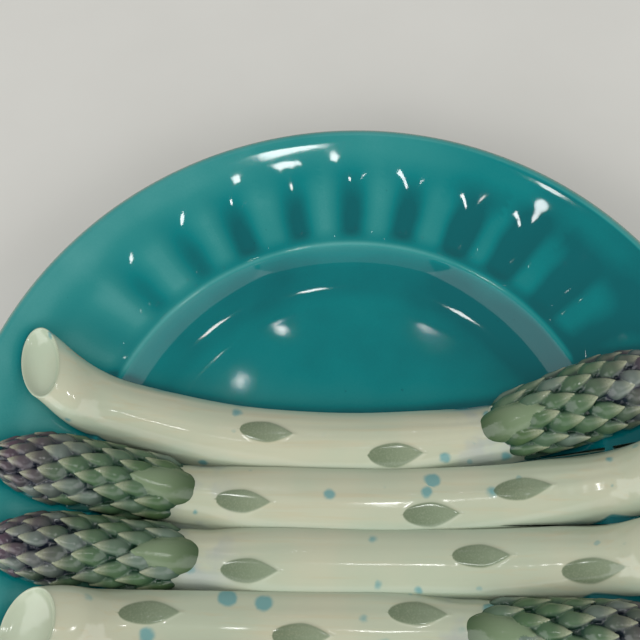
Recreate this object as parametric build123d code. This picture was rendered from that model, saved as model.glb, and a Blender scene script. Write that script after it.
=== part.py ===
from build123d import *

import math
import os
from typing import NamedTuple

# Asparagus plate in glazed earthenware: a round dish with a fluted rim, a sauce well and five asparagus
# spears laid across it in high relief. Millimetres, +Z up, origin on the standing surface under the middle.
# X runs along the spears and +Y points from the spears to the sauce well.

# Dish
plate_diameter = 240.0
plate_height = 28.0
wall = 5.0
floor_diameter = 120.0
verge_diameter = 160.0
verge_rise = 9.5  # from the floor up to the verge
rim_sag = 1.5  # how far the rim hollows below its straight line

# Foot ring under the floor
foot_height = 4.0
foot_inset = 1.0  # from the edge of the flat floor
foot_width = 7.0
foot_land = 4.0  # flat width that the plate stands on

# Flutes pressed into the rim
flute_count = 30
flute_depth = 1.2
flute_cross_radius = 19.0
flute_from_verge = 2.5
flute_from_lip = 7.5
flute_clearance = 6.0  # from a flute's inner end to the side of the nearest stalk

# Spears: stalks lie side by side, and fan out far enough for the heads to clear each other
first_lane = 10.3  # middle of the first stalk, towards the sauce well
stalk_width = 18.2
stalk_relief = 9.5  # crest above the dish
crease = 0.3  # between neighbouring stalks
butt_width = 23.0
butt_swell_length = 70.0
butt_margin = 13.0  # from the cut end to the lip
cut_slope = 45.0  # slope of the cut face, in degrees
cut_dish_depth = 1.8
cut_dish_span = 14.0
bedding_length = 24.0  # a stalk bridges hollows and edges of the dish over this length to each side

# Heads: a bud core under rows of scales
head_length = 66.0
head_width = 23.4
wide_head_width = 26.0
head_gap = 0.6
head_full_at = 0.62  # share of the length where the bud is widest
tip_margin = 7.5  # from the point to the lip
tip_lift = 2.0  # point above the rim
scale_rows = 9
scales_around = 10
scale_first = 5.0  # start of the first scale behind the bud's shoulder
scale_last = 3.0  # end of the last scale before the point
scale_shrink = 0.94  # length of each row over the one before it
scale_lift = 1.2
scale_gap = 0.3
scale_bow = 0.2  # bulge of a scale's curved sides over its half width
lead_width = 11.5  # of the large scale at each head's shoulder
lead_start = 2.0  # from the shoulder

# Leaves on the stalks
leaf_length = 17.0
leaf_width = 6.5
leaf_rise = 0.6


class Spear(NamedTuple):
    """One spear: tip is +1 or -1 along X, fan its share of the spread, leaves (x, y from the middle line)."""

    name: str
    lane: int
    tip: int
    fan: float
    head_width: float
    leaves: tuple


SPEARS = (
    Spear("spear_1", 0, 1, 2.8, wide_head_width, ((-25.0, 0.5), (15.0, -5.5))),
    Spear("spear_2", 1, -1, 1.15, head_width, ((-31.0, -2.5), (25.5, -5.5), (52.5, 0.5))),
    Spear("spear_3", 2, -1, 0.15, head_width, ((-28.0, -4.0), (39.5, 1.0), (70.0, -4.0))),
    Spear("spear_4", 3, 1, -0.85, head_width, ((-55.0, 3.0), (-12.0, -3.5), (21.0, 3.5))),
    Spear("spear_5", 4, -1, -3.0, head_width, ((0.0, 3.0), (33.0, -3.5), (52.0, 3.0))),
)

# Dish profile, worked out at the middle of the wall
plate_radius = plate_diameter / 2
floor_radius = floor_diameter / 2
verge_radius = verge_diameter / 2
half_wall = wall / 2
floor_top = foot_height + wall
floor_mid = foot_height + half_wall
verge_mid = floor_mid + verge_rise
lip_mid = plate_height - half_wall
lip_radius = plate_radius - half_wall

cove_run = verge_radius - floor_radius
cove_radius = (cove_run**2 + verge_rise**2) / (2 * verge_rise)
cove_centre = Vector(floor_radius, floor_mid + cove_radius)
cove_turn = math.asin(cove_run / cove_radius)

rim_chord = Vector(lip_radius - verge_radius, lip_mid - verge_mid)
rim_radius = (rim_chord.length**2 / 4 + rim_sag**2) / (2 * rim_sag)
rim_half_turn = math.asin(rim_chord.length / 2 / rim_radius)
rim_start = math.atan2(rim_chord.Y, rim_chord.X) - rim_half_turn
rim_end = rim_start + 2 * rim_half_turn
rim_centre = Vector(verge_radius - rim_radius * math.sin(rim_start), verge_mid + rim_radius * math.cos(rim_start))


def bottom_of_circle(centre, radius, r):
    """Height of a circle's lower half at a distance r from the plate's axis."""
    return centre.Y - math.sqrt(radius**2 - (r - centre.X) ** 2)


def plate_top(r):
    """Height of the unfluted upper face at a distance r from the plate's axis."""
    if r <= floor_radius:
        return floor_top
    if r <= verge_radius - half_wall * math.sin(cove_turn):
        return bottom_of_circle(cove_centre, cove_radius - half_wall, r)
    if r <= verge_radius - half_wall * math.sin(rim_start):
        return verge_mid + math.sqrt(half_wall**2 - (r - verge_radius) ** 2)
    return bottom_of_circle(rim_centre, rim_radius - half_wall, r)


def upper_edges():
    """Upper face from the axis to the lip: floor, cove, rounded verge and hollow rim."""
    turn = math.degrees(cove_turn)
    start = math.degrees(rim_start)
    sweep = math.degrees(rim_end) - start
    return [
        Line((0, floor_top), (floor_radius, floor_top)),
        CenterArc(cove_centre, cove_radius - half_wall, -90, turn),
        CenterArc((verge_radius, verge_mid), half_wall, 90 + turn, start - turn),
        CenterArc(rim_centre, rim_radius - half_wall, start - 90, sweep),
    ]


def lower_corner():
    """Where the undersides of cove and rim meet, below the verge."""
    cove_under = cove_radius + half_wall
    rim_under = rim_radius + half_wall
    across = rim_centre - cove_centre
    along = (across.length**2 + cove_under**2 - rim_under**2) / (2 * across.length)
    aside = math.sqrt(cove_under**2 - along**2)
    unit = across.normalized()
    foot = cove_centre + unit * along
    meets = [foot + Vector(-unit.Y, unit.X) * side for side in (-aside, aside)]
    return max(meets, key=lambda point: point.X)


def revolved(edges):
    """Solid turned about the plate's axis from a closed outline of (radius, height) edges."""
    return revolve(Plane.XZ * make_face(edges), Axis.Z)


def dish_blank():
    """The dish with an even wall and a round lip, before its flutes are pressed."""
    top = upper_edges()
    corner = lower_corner()
    lean = math.degrees(rim_end)
    lip = CenterArc((lip_radius, lip_mid), half_wall, 90 + lean, -90)
    lip_under = CenterArc((lip_radius, lip_mid), half_wall, lean, -90)
    rim_under = ThreePointArc(lip_under @ 1, under_rim_middle(lip_under @ 1, corner), corner)
    cove_under = TangentArc((floor_radius, foot_height), corner, tangent=(1, 0))
    edges = top + [lip, lip_under, rim_under, cove_under]
    edges.append(Line((floor_radius, foot_height), (0, foot_height)))
    edges.append(Line((0, foot_height), (0, floor_top)))
    return revolved(edges)


def under_rim_middle(start, end):
    """A point of the rim's underside between two of its points."""
    middle = (start + end) / 2 - rim_centre
    return rim_centre + middle.normalized() * (rim_radius + half_wall)


def dish_ground():
    """Everything below the dish's upper face, deeper than any spear, to bed the spears on."""
    top = upper_edges()
    rim_top = top[-1] @ 1
    deep = -max(head_width, wide_head_width)
    outer = Line(rim_top, (rim_top.X, deep))
    return revolved(top + [outer, Line((rim_top.X, deep), (0, deep)), Line((0, deep), (0, floor_top))])


def flute_tool():
    """Spindle that scoops one flute out of the rim, on the X side of the plate."""
    inner = verge_radius + flute_from_verge
    outer = plate_radius - flute_from_lip
    middle = (inner + outer) / 2
    start = Vector(inner, plate_top(inner))
    end = Vector(outer, plate_top(outer))
    lowest = Vector(middle, plate_top(middle) - flute_depth)
    along = (end - start).normalized()
    up = Vector(-along.Y, along.X)
    axis_point = lowest + up * flute_cross_radius
    axis_start = axis_point + along * (start - axis_point).dot(along)
    axis_end = axis_point + along * (end - axis_point).dot(along)
    outline = [ThreePointArc(start, lowest, end), Line(end, axis_end), Line(axis_end, axis_start), Line(axis_start, start)]
    axis = Axis((axis_start.X, 0, axis_start.Y), (along.X, 0, along.Y))
    return revolve(Plane.XZ * make_face(outline), axis)


# Spear lines in plan
lane_pitch = stalk_width + crease
head_spread = head_width - stalk_width + head_gap
fan_reach = plate_radius - 2 * butt_margin  # distance from the middle where the spread is reached


def middle_y(spear, x):
    """Y of a spear's middle line."""
    return first_lane - spear.lane * lane_pitch + spear.fan * head_spread * (x / fan_reach) ** 2


def reach_x(spear, radius, side):
    """X where a spear's middle line comes to a distance from the plate's axis, on one side."""
    x = radius
    for _ in range(60):
        x = math.sqrt(radius**2 - middle_y(spear, x) ** 2)
    return side * x


def heading(spear, x):
    """Unit direction of a spear's middle line, towards +X."""
    slope = 2 * spear.fan * head_spread * x / fan_reach**2
    return Vector(1, slope, 0).normalized()


def bed_z(spear, x):
    """Height of the dish under a spear, evened out over the bedding length."""
    samples = [x + bedding_length * k / 6 for k in range(-6, 7)]
    return sum(plate_top(min(math.hypot(s, middle_y(spear, s)), lip_radius)) for s in samples) / len(samples)


def butt_x(spear):
    return reach_x(spear, plate_radius - butt_margin, -spear.tip)


def tip_x(spear):
    return reach_x(spear, plate_radius - tip_margin, spear.tip)


def shoulder_x(spear):
    """X where the stalk ends and the head begins."""
    return tip_x(spear) - spear.tip * head_length


def stalk_half(spear, x):
    """Half width of the stalk, which swells towards its cut end."""
    share = max(0.0, 1 - abs(x - butt_x(spear)) / butt_swell_length)
    return stalk_width / 2 + (butt_width - stalk_width) / 2 * share**1.3


def stalk_section(spear, x, grow):
    """Upright arch across the stalk, its legs running down into the dish."""
    ahead = heading(spear, x)
    half = stalk_half(spear, x) + grow
    spring = bed_z(spear, x) + stalk_relief + grow - half
    plane = Plane((x, middle_y(spear, x), 0), x_dir=(-ahead.Y, ahead.X, 0), z_dir=ahead)
    outline = [
        Line((-half, foot_height), (half, foot_height)),
        Line((half, foot_height), (half, spring)),
        ThreePointArc((half, spring), (0, spring + half), (-half, spring)),
        Line((-half, spring), (-half, foot_height)),
    ]
    return plane * make_face(outline)


def stalk_blank(spear, grow=0.0):
    """Stalk from past its cut end to the head's shoulder, before it is cut and bedded."""
    stations = 12
    start = butt_x(spear) - spear.tip * wall / 2
    end = shoulder_x(spear)
    places = [start + (end - start) * k / stations for k in range(stations + 1)]
    return loft([stalk_section(spear, x, grow) for x in places])


def cut_end_tools(spear):
    """A block that leaves the slanted cut face, and a ball that dishes it."""
    x = butt_x(spear)
    outward = heading(spear, x) * -spear.tip
    slope = math.radians(cut_slope)
    normal = outward * math.sin(slope) + Vector(0, 0, math.cos(slope))
    low_edge = Vector(x, middle_y(spear, x), plate_top(plate_radius - butt_margin))
    face = Plane(low_edge, x_dir=(-outward.Y, outward.X, 0), z_dir=normal)
    block = face * Pos(0, 0, plate_height) * Box(4 * butt_width, 4 * butt_width, 2 * plate_height)
    middle = stalk_relief / 2 / math.sin(slope)
    ball_radius = (cut_dish_span**2 / 4 + cut_dish_depth**2) / (2 * cut_dish_depth)
    centre = low_edge + Vector(0, 0, stalk_relief / 2) - outward * (middle * math.cos(slope))
    ball = Pos(centre + normal * (ball_radius - cut_dish_depth)) * Sphere(ball_radius)
    return [block, ball]


# Heads, made along +Z with +X as their upper side, then laid on the dish


def row_ends():
    """Distances along the head where scale rows begin and end, each row shorter than the last."""
    steps = [scale_shrink**k for k in range(scale_rows + 1)]
    unit = (head_length - scale_first - scale_last) / sum(steps)
    ends = [scale_first]
    for step in steps:
        ends.append(ends[-1] + step * unit)
    return ends


def bud_radius(width, s):
    """Radius of the bud core at a distance s along it: it swells, then closes in a blunt point."""
    base = stalk_width / 2
    full = width / 2 - scale_lift
    share = s / head_length
    if share <= head_full_at:
        return base + (full - base) * math.sin(math.pi / 2 * max(share, 0.0) / head_full_at)
    closing = (share - head_full_at) / (1 - head_full_at)
    return full * (1 - closing**2) ** 0.75


def bud_core(width):
    """Bud core turned from cones, one between each two scale rows, begun behind the shoulder."""
    back = -stalk_width / 2
    places = [0.0] + row_ends()
    points = [(0, back), (bud_radius(width, 0), back)]
    points += [(bud_radius(width, s), s) for s in places]
    points.append((0, head_length))
    return revolve(Plane.XZ * make_face(Polyline(*points, close=True)), Axis.Z)


def bud_scale_outline(low, middle, high, half):
    """Pointed scale with hollow sides below its shoulders and round sides above them."""
    corners = [Vector(0, low), Vector(half, middle), Vector(0, high), Vector(-half, middle)]
    edges = []
    for k, start in enumerate(corners):
        end = corners[(k + 1) % 4]
        across = (end - start).normalized()
        outward = Vector(across.Y, -across.X) * half * (scale_bow if k in (1, 2) else -scale_bow)
        edges.append(ThreePointArc(start, (start + end) / 2 + outward, end))
    return make_face(edges)


def scale_layer(width, places, shares):
    """Skin over the bud core through some places along it, as thick there as shares of the full lift."""
    inner = [(bud_radius(width, s), s) for s in places]
    outer = [(r + scale_lift * share, s) for (r, s), share in zip(inner, shares)]
    return revolve(Plane.XZ * make_face(Polyline(*inner, *reversed(outer), close=True)), Axis.Z)


def lead_post(width, end, grow):
    """Upright post in the outline of the large first scale, grown to each side."""
    outline = leaf_outline(end - lead_start + 2 * grow, lead_width + 2 * grow)
    return extrude(Plane.YZ * Pos(0, (lead_start + end) / 2) * Rot(0, 0, 90) * outline, width)


def bud_scales(width):
    """One large scale, then rows of separate scales on the upper half of the bud, rising to their free points."""
    ends = row_ends()
    step = 360 / scales_around
    lead_places = [0.0] + ends[:3]
    lead = scale_layer(width, lead_places, (0.3, 0.5, 0.8, 1.0)) & lead_post(width, ends[2] - scale_gap, 0.0)
    under_lead = lead_post(width, ends[2] - scale_gap, scale_gap)
    scales = [lead]
    for row in range(1, scale_rows + 1):
        low, middle, high = ends[row - 1 : row + 2]
        layer = scale_layer(width, (low, middle, high), (0.2, 0.75, 1.0))
        half = bud_radius(width, middle) * math.tan(math.radians(step / 2)) - scale_gap / 2
        post = extrude(Plane.YZ * bud_scale_outline(low + scale_gap, middle, high - scale_gap, half), width)
        reach = scales_around // 4
        for k in range(-reach, reach + row % 2):
            turn = step * k + (0 if row % 2 else step / 2)
            if row == 1 and k == 0:
                continue  # the large scale is here
            scale = layer & (Rot(0, 0, turn) * post)
            if row <= 2 and abs(turn) <= step:
                scale = max((scale - under_lead).solids(), key=lambda piece: piece.volume)
            scales.append(scale)
    return scales


def head_place(spear):
    """Plane at the shoulder: +Z along the head to its point, +X as near to upwards as that allows."""
    x = shoulder_x(spear)
    end = tip_x(spear)
    start_z = bed_z(spear, x) + stalk_relief - stalk_width / 2
    start = Vector(x, middle_y(spear, x), start_z)
    point = Vector(end, middle_y(spear, end), plate_top(plate_radius - tip_margin) + tip_lift)
    along = (point - start).normalized()
    side = Vector(0, 0, 1).cross(along).normalized()
    return Plane(start, x_dir=along.cross(side), z_dir=along)


def behind_shoulder(spear):
    """Block on the stalk's side of the head's first face."""
    x = shoulder_x(spear)
    toward_butt = heading(spear, x) * -spear.tip
    plane = Plane((x, middle_y(spear, x), plate_height / 2), z_dir=toward_butt)
    return plane * Pos(0, 0, head_length / 2) * Box(4 * plate_height, 4 * plate_height, head_length)


def leaf_outline(length, width):
    """Leaf with a round base and a pointed end towards +X."""
    half = width / 2
    base = -length / 2 + half
    tip = (length / 2, 0)
    round_base = ThreePointArc((base, half), (-length / 2, 0), (base, -half))
    upper = ThreePointArc(tip, ((base + length / 2) / 2, half * 0.85), (base, half))
    lower = ThreePointArc((base, -half), ((base + length / 2) / 2, -half * 0.85), tip)
    return make_face([round_base, lower, upper])


def stalk_leaves(spear, stalk):
    """Low leaves that lie on the stalk, all pointing the same way on every spear."""
    skin = stalk_blank(spear, leaf_rise)
    leaves = []
    for x, aside in spear.leaves:
        ahead = heading(spear, x)
        place = Plane((x, middle_y(spear, x) + aside, floor_top), x_dir=ahead, z_dir=(0, 0, 1))
        post = extrude(place * leaf_outline(leaf_length, leaf_width), 2 * plate_height)
        leaves.append((skin & post) - stalk)
    return leaves


def foot_ring():
    """Turned foot ring, narrower at the flat land that the plate stands on."""
    outer = floor_radius - foot_inset
    taper = (foot_width - foot_land) / 2
    points = [
        (outer - foot_width, foot_height),
        (outer - foot_width + taper, 0),
        (outer - taper, 0),
        (outer, foot_height),
    ]
    return revolved(Polyline(*points, close=True))


def flute_shows(angle):
    """Flutes are pressed only where their inner ends stay clear of the spears."""
    radius = verge_radius + flute_from_verge
    x = radius * math.cos(angle)
    y = radius * math.sin(angle)
    above = y - middle_y(SPEARS[0], x)
    below = middle_y(SPEARS[-1], x) - y
    return max(above, below) > stalk_width / 2 + flute_clearance


def flute_tools():
    """The flutes round the rim, set out from its back."""
    step = 360 / flute_count
    angles = [90 + step * k for k in range(flute_count)]
    return [Rot(0, 0, angle) * flute_tool() for angle in angles if flute_shows(math.radians(angle))]


def main():
    os.makedirs("parts", exist_ok=True)
    ground = dish_ground()
    nodes = {"foot_ring": foot_ring()}
    cores = {width: bud_core(width) for width in (head_width, wide_head_width)}
    scales = {width: bud_scales(width) for width in (head_width, wide_head_width)}
    for spear in SPEARS:
        place = head_place(spear).location
        blank = stalk_blank(spear)
        stalk = blank - cut_end_tools(spear)
        head = place * cores[spear.head_width] - behind_shoulder(spear)
        nodes[spear.name + "_stalk"] = stalk - ground
        nodes[spear.name + "_head"] = head - ground
        nodes[spear.name + "_scales"] = Compound([place * scale - ground for scale in scales[spear.head_width]])
        nodes[spear.name + "_leaves"] = Compound(stalk_leaves(spear, blank))
    nodes["plate_body"] = dish_blank() - flute_tools()

    for name, shape in nodes.items():
        export_step(shape, f"parts/{name}.step")


main()
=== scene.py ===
import math
import random
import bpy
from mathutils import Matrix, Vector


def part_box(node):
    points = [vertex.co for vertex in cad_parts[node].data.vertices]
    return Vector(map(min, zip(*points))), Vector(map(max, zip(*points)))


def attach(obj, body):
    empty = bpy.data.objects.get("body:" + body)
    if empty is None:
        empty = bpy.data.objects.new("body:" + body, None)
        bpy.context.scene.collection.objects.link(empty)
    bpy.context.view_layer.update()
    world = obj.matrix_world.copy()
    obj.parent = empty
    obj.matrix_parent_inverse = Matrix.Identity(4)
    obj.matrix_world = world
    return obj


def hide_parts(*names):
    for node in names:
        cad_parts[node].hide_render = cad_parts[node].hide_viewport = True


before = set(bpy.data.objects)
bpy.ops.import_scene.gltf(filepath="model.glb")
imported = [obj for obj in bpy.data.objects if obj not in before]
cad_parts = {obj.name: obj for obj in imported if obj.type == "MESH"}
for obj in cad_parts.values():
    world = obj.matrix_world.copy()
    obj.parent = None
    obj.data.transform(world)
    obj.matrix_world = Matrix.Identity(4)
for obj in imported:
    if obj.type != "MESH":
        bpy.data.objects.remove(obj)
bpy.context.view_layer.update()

from types import SimpleNamespace

import bmesh
import bpy
import numpy as np
from mathutils import Matrix, Vector, noise
from mathutils.bvhtree import BVHTree

# Sizes are in millimetres, as a potter would measure them, and each finished mesh is scaled to metres.
MM = 0.001
BODY = "root"
RNG = random.Random(41)


def top_corner(node):
    """Highest corner of a CAD node's box, in millimetres."""
    _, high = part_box(node)
    return Vector(high) / MM


# Dish
dish_corner = top_corner("plate_body")
foot_corner = top_corner("foot_ring")
PLATE_RADIUS = dish_corner.x
PLATE_HEIGHT = dish_corner.z
FOOT_HEIGHT = foot_corner.z
FOOT_RADIUS = foot_corner.x
WALL = 5.0
FLOOR_RADIUS = 60.0
VERGE_RADIUS = 80.0
VERGE_RISE = 9.5
RIM_SAG = 1.5
UPPER_FACE = 0.05
SWAY_HEIGHT = 0.16
SWAY_WAVES = 0.03
SWAY_LAYER = 2.0
SWAY_EDGE = 2.0
LIP_WORN = (117.6, 119.6)
LIP_FROM = 100
POOL_BASE = 0.73
UNDERSIDE_POOL = 0.38
FAR_FROM_SPEARS = 40.0

# Steps that the dish's profile and turning are divided into
TURN_STEPS = 480
FLOOR_POINTS = 36
COVE_STEPS = 18
VERGE_STEPS = 7
RIM_STEPS = 44
LIP_STEPS = 14
UNDER_RIM_STEPS = 14
UNDER_COVE_STEPS = 8
UNDER_FLOOR_POINTS = 8
UNDER_COVE_END = 1.0
WELD = 1e-4

# Foot ring
FOOT_WIDTH = 7.0
FOOT_TAPER = 1.5
FOOT_SOFT = 0.8
FOOT_ROUNDING = (0, 0.25, 0.5, 0.75, 1)
FOOT_STEPS = 192
FOOT_POOL = 0.34
FOOT_WORN = (0.15, 0.7)

# Flutes, each with its own shift, depth and outer end
FLUTE_COUNT = 30
FLUTE_DEPTH = 1.1
FLUTE_INNER = 81.0
FLUTE_OUTER = 112.5
FLUTE_SEED = 7
FLUTE_SHIFT = 0.05
FLUTE_DEPTHS = (0.8, 1.15)
FLUTE_ENDS = (-3.0, 1.0)
FLUTE_CLEAR = (14, 40)
FLUTE_NARROW = 1.12
FLUTE_ROUND = 0.85
FLUTE_BEFORE = 1.2
FLUTE_ENTRY = 4.5
FLUTE_RUNOUT = 14
FIRST_FLUTE = 90

# Spears
FIRST_LANE = 10.3
LANE_PITCH = 18.5
HEAD_SPREAD = 5.8
FAN_REACH = 94.0
BEDDING = 24.0
BED_SAMPLES = 6
REACH_ROUNDS = 60
SINK = 1.2

# Stalks
STALK_HALF = 9.1
SEAM_FILL = 0.35
SKIN_HALF = STALK_HALF + SEAM_FILL
STALK_RELIEF = 9.5
STALK_POINTS = 300
SKIN_POINTS = 84
SKIN_WELD = 1e-3
BUTT_HALF = 11.0
BUTT_SWELL = 70.0
BUTT_CURVE = 1.3
BUTT_MARGIN = 13.0
ARCH_SHARE = 0.84
FIRST_ARCH = 1.42
LOW_ARCH = 1.75
UPRIGHT_ARCH = 1.02
UPRIGHT_OUT = (30, 80)
UPRIGHT_TO_HEAD = (-28, 0)
LEG_SHARE = 0.12
DRAFT = 0.2
DRAFT_FROM_BUTT = (20, 60)
HEAD_TUCK = 0.1
HEAD_TUCK_FROM = 2
HEAD_BEDDING = 16.0

# Uneven skin of the stalks: waves along, waves around, layer and height
STALK_WAVES = ((0.035, 1.3, 0.0, 0.35), (0.012, 5.0, 9.0, 0.16))
WAVE_LANE = 3.7

# Cut ends: a slanted oval, eased into the stalk, with rings of a size and depth pressed into its face
CUT_RUN = 18.6
CUT_RISE = 7.4
CUT_HALF = 11.6
CUT_ARCH = 130
CUT_ASIDE = 0.9
CUT_LEAN = 1.55
CUT_INSET = -2.5
CUT_LIFT = 0.3
CUT_FALL = 0.2
CUT_BLEND = 34.0
CUT_SAG = 1.0
CUT_SAG_IN = (0, 12)
CUT_SAG_OUT = (14, 55)
CUT_RINGS = (
    (0.985, -0.22),
    (0.98, -0.06),
    (0.98, 0.08),
    (0.97, 0.25),
    (0.95, 0.5),
    (0.92, 0.6),
    (0.88, 0.5),
    (0.8, 0.4),
    (0.65, 0.25),
    (0.4, 0.1),
)

# Low leaves on the stalks
LEAF_LENGTH = 17.0
LEAF_WIDTH = 7.0
LEAF_RISE = 0.45
LEAF_RISE_MIDDLE = 0.6
LEAF_RISE_TIP = 0.4
LEAF_POINT = 1.6
LEAF_SOFT = 0.22
LEAF_END = 1.1

# Where the stalk glaze changes, across the stalk, over the dish and from the cut end, and where shade is
# painted into the cut end's hollow
EDGE_ACROSS = (0.7, 1.0)
SEAM_EDGE = 0.4
HOLLOW_SHADE_ALONG = (0.35, 0.95)
STALK_LOW = (0.2, 2.6)
SHOULDER_REACH = 17
CHIP_INNER = (0.97, 1.02)
CHIP_OUTER = (1.12, 1.2)
CHIP_START = (12, 20)
CHIP_END = (30, 42)

# Heads
HEAD_LENGTH = 66.0
HEAD_ROOT = 7.0
HEAD_FULL_AT = 0.62
HEAD_WIDTH = 23.4
WIDE_HEAD_WIDTH = 26.0
TIP_MARGIN = 7.5
TIP_LIFT = 2.0
BUD_ROUND = 0.75
CORE_TUCK = 1.5
CORE_STEPS = 72
CORE_POINTS = 60
POINT_SHARE = 0.1
POINT_POINTS = 12
POINT_CURVE = 1.5
LEAST_RADIUS = 3.0
HEAD_VOXEL = 0.36
SOFTEN_SHARE = 0.5
SOFTEN_ROUNDS = 3

# Scales on the heads, in rows that shrink towards the point
SCALE_ROWS = 9
SCALES_AROUND = 10
SCALES_ASIDE = 3
SCALE_REACH = math.radians(112)
SCALE_FIRST = 5.0
SCALE_LAST = 3.0
SCALE_SHRINK = 0.94
SCALE_BACK = 1.5
SCALE_STRAY = 0.6
SCALE_SPAN = 0.95
SCALE_EXTRA = 1.6
SCALE_WIDTHS = (0.9, 1.08)
SCALE_SHIFT = 0.06
SCALE_LIFTS = (0.05, 0.3)
SCALE_SKEW = 0.15
LEAD_START = -5.0
LEAD_LENGTH = 27.0
LEAD_HALF = 6.6

# Form of one scale
SCALE_WIDEST = 0.4
SCALE_BASE = 0.44
SCALE_BASE_LEAST = 0.05
SCALE_POINT = 2.1
SCALE_LIFT = 1.2
SCALE_DEEP = 2.4
SCALE_EMERGE = (0, 0.55)
SCALE_KICK = 0.35
SCALE_KICK_FROM = (0.7, 1)
SCALE_PILLOW = 0.75
SCALE_BRIM = 0.9
SCALE_FILL = (0, 0.3)
SCALE_FLATTEN = 0.6
SCALE_FLATTEN_FROM = (0.5, 1)
SCALE_THICK = 0.9
SCALE_GRID = (10, 14)

# Where the bud glaze changes and where shade is painted into its pits, and how near its height a point must
# lie to belong to a scale
SCALE_NEAR = 1.0
SCALE_PAST_POINT = 1.04
SCALE_PAST_BRIM = 1.12
SCALE_LEAST_HEIGHT = 0.3
NOT_NEAR = 9
PIT_SHADE_HEIGHT = (-1.05, 0.05)
PIT_SHADE_CAVITY = 0.6
CAVITY_ROUNDS = 6
CAVITY_KEEP = 0.4
BARE_ALONG = (10, 17)
HEAD_LOW = (0.3, 3.5)


def spear(name, lane, tip, fan, head_width, leaves):
    """One spear: its lane, the side its tip points to, how far it fans out, and each leaf's x and offset."""
    return SimpleNamespace(name=name, lane=lane, tip=tip, fan=fan, head_width=head_width, leaves=leaves)


SPEARS = (
    spear("spear_1", 0, 1, 2.8, WIDE_HEAD_WIDTH, ((-25.0, 0.5), (15.0, -5.5))),
    spear("spear_2", 1, -1, 1.15, HEAD_WIDTH, ((-31.0, -2.5), (25.5, -5.5), (52.5, 0.5))),
    spear("spear_3", 2, -1, 0.15, HEAD_WIDTH, ((-28.0, -4.0), (39.5, 1.0), (70.0, -4.0))),
    spear("spear_4", 3, 1, -0.85, HEAD_WIDTH, ((-55.0, 3.0), (-12.0, -3.5), (21.0, 3.5))),
    spear("spear_5", 4, -1, -3.0, HEAD_WIDTH, ((0.0, 3.0), (33.0, -3.5), (52.0, 3.0))),
)

# Profile of the dish, worked out at the middle of its wall
HALF_WALL = WALL / 2
FLOOR_TOP = FOOT_HEIGHT + WALL
FLOOR_MID = FOOT_HEIGHT + HALF_WALL
VERGE_MID = FLOOR_MID + VERGE_RISE
LIP_MID = PLATE_HEIGHT - HALF_WALL
LIP_RADIUS = PLATE_RADIUS - HALF_WALL
COVE_RUN = VERGE_RADIUS - FLOOR_RADIUS
COVE_RADIUS = (COVE_RUN**2 + VERGE_RISE**2) / (2 * VERGE_RISE)
COVE_TURN = math.asin(COVE_RUN / COVE_RADIUS)
COVE_CENTRE = (FLOOR_RADIUS, FLOOR_MID + COVE_RADIUS)
RIM_RUN = LIP_RADIUS - VERGE_RADIUS
RIM_CLIMB = LIP_MID - VERGE_MID
RIM_CHORD = math.hypot(RIM_RUN, RIM_CLIMB)
RIM_CURVE = (RIM_CHORD**2 / 4 + RIM_SAG**2) / (2 * RIM_SAG)
RIM_START = math.atan2(RIM_CLIMB, RIM_RUN) - math.asin(RIM_CHORD / 2 / RIM_CURVE)
RIM_END = RIM_START + 2 * math.asin(RIM_CHORD / 2 / RIM_CURVE)
RIM_CENTRE = (VERGE_RADIUS - RIM_CURVE * math.sin(RIM_START), VERGE_MID + RIM_CURVE * math.cos(RIM_START))


# Measures of the dish and the spears


def smooth(low, high, value):
    """Smooth step from 0 at low to 1 at high, for numbers and arrays."""
    share = np.clip((np.asarray(value, float) - low) / (high - low), 0, 1)
    return share * share * (3 - 2 * share)


def dish_top(r):
    """Height of the unfluted upper face at distances r from the axis."""
    r = np.asarray(r, float)
    cove_r = COVE_RADIUS - HALF_WALL
    rim_r = RIM_CURVE - HALF_WALL
    cove = COVE_CENTRE[1] - np.sqrt(np.maximum(cove_r**2 - (r - COVE_CENTRE[0]) ** 2, 0))
    verge = VERGE_MID + np.sqrt(np.maximum(HALF_WALL**2 - (r - VERGE_RADIUS) ** 2, 0))
    rim = RIM_CENTRE[1] - np.sqrt(np.maximum(rim_r**2 - (r - RIM_CENTRE[0]) ** 2, 0))
    verge_from = VERGE_RADIUS - HALF_WALL * math.sin(COVE_TURN)
    rim_from = VERGE_RADIUS - HALF_WALL * math.sin(RIM_START)
    outside = np.where(r <= rim_from, verge, rim)
    return np.where(r <= FLOOR_RADIUS, FLOOR_TOP, np.where(r <= verge_from, cove, outside))


def ground(x, y):
    """Height of the dish under a place, held at the lip's height outside it."""
    return dish_top(np.minimum(np.hypot(x, y), LIP_RADIUS))


def arc(centre, radius, start, end, count):
    """Points along an arc, angles measured from straight down, outwards positive."""
    turns = [start + (end - start) * k / count for k in range(count + 1)]
    return [(centre[0] + radius * math.sin(t), centre[1] - radius * math.cos(t)) for t in turns]


def middle_y(s, x):
    """Middle line of a spear."""
    return FIRST_LANE - s.lane * LANE_PITCH + s.fan * HEAD_SPREAD * (x / FAN_REACH) ** 2


def heading_slope(s, x):
    """Slope of a spear's middle line."""
    return 2 * s.fan * HEAD_SPREAD * x / FAN_REACH**2


def reach_x(s, radius, side):
    """Where a spear's middle line crosses a circle."""
    x = radius
    for _ in range(REACH_ROUNDS):
        x = math.sqrt(radius**2 - middle_y(s, x) ** 2)
    return side * x


def butt_x(s):
    return reach_x(s, PLATE_RADIUS - BUTT_MARGIN, -s.tip)


def tip_x(s):
    return reach_x(s, PLATE_RADIUS - TIP_MARGIN, s.tip)


def shoulder_x(s):
    return tip_x(s) - s.tip * HEAD_LENGTH


def bed_z(s, x):
    """Dish height under a spear, evened out along it."""
    places = x + BEDDING * np.arange(-BED_SAMPLES, BED_SAMPLES + 1) / BED_SAMPLES
    return float(np.mean(ground(places, middle_y(s, places))))


bed_cache = {}


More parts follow.
